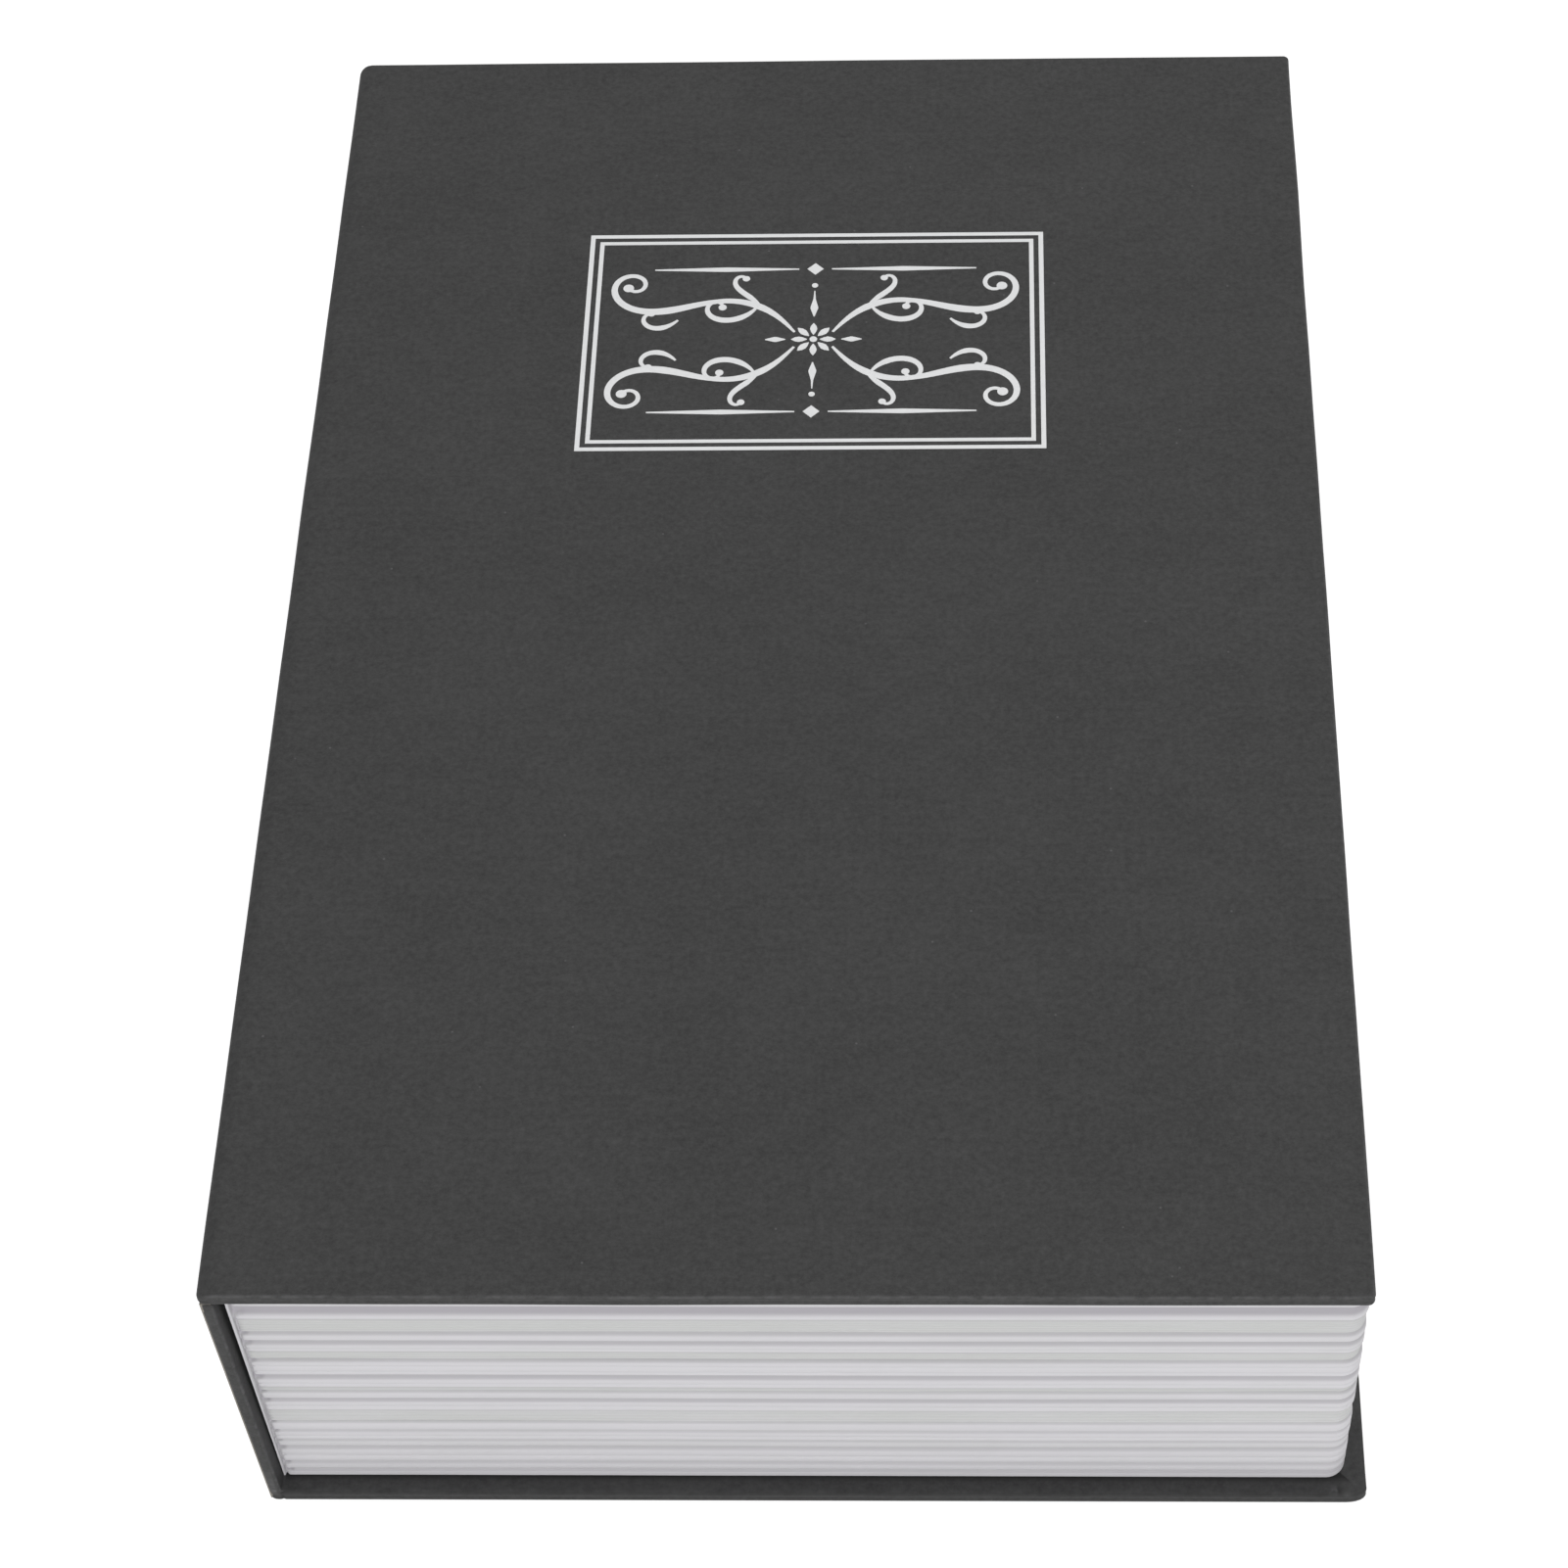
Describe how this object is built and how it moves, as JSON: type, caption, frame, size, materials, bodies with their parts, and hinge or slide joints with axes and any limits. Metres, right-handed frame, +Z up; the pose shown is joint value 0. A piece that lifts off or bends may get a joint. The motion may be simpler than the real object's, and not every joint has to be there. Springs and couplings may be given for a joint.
{
  "type": "book diversion safe",
  "caption": "Closed hardback book case round a moulded page block that hides a steel cash box with a hinged, key-locked lid.",
  "frame": {"origin": "on the resting surface, under the middle of the closed book's outer size", "axes": "+X from the spine to the fore-edge, +Y from the tail to the head of the book, +Z up through the front cover"},
  "size_m": [0.1574, 0.24, 0.055],
  "materials": {
    "cover_paper": "matte",
    "grey_board": "matte",
    "lining_paper": "matte",
    "title_foil": "satin",
    "page_plastic": "satin",
    "black_steel": "satin",
    "plated_steel": "satin",
    "lock_chrome": "polished"
  },
  "bodies": {
    "case": {"case_wrap": "cover_paper", "back_board": "grey_board", "spine_board": "grey_board", "cover_hinge_strip": "cover_paper", "page_block": "page_plastic", "steel_box": "black_steel", "box_hinge_leaf": "plated_steel", "hinge_pin": "plated_steel", "box_leaf_rivet_1": "plated_steel", "box_leaf_rivet_2": "plated_steel", "box_leaf_rivet_3": "plated_steel", "box_screw_1": "plated_steel", "box_screw_2": "plated_steel", "box_screw_3": "plated_steel", "box_screw_4": "plated_steel", "key_1": "plated_steel", "key_2": "plated_steel"},
    "cover": {"front_wrap": "cover_paper", "front_board": "grey_board", "front_endpaper": "lining_paper", "title_line_outer": "title_foil", "title_line_inner": "title_foil"},
    "lid": {"steel_lid": "black_steel", "lid_hinge_leaf": "plated_steel", "lid_leaf_rivet_1": "plated_steel", "lid_leaf_rivet_2": "plated_steel", "lid_leaf_rivet_3": "plated_steel", "lock_body": "lock_chrome", "lock_washer": "plated_steel", "lock_nut": "plated_steel"},
    "plug": {"lock_plug": "lock_chrome", "lock_cam": "plated_steel", "cam_screw": "plated_steel"}
  },
  "joints": [
    {"name": "cover_hinge", "type": "hinge", "parent": "case", "child": "cover", "pos_m": [-0.079, 0, 0.05275], "axis": [0, -1, 0], "range_deg": [0, 198], "deforming": ["cover_hinge_strip"]},
    {"name": "lid_hinge", "type": "hinge", "parent": "case", "child": "lid", "pos_m": [-0.06893, 0, 0.04695], "axis": [0, -1, 0], "range_deg": [0, 99]},
    {"name": "lock_turn", "type": "hinge", "parent": "lid", "child": "plug", "pos_m": [0.04898, 0, 0.0504], "axis": [0, 0, 1], "range_deg": [0, 90]}
  ],
  "couplings": [
    {"joint": "lid_hinge", "follows": "cover_hinge", "ratio": 0.5}
  ]
}
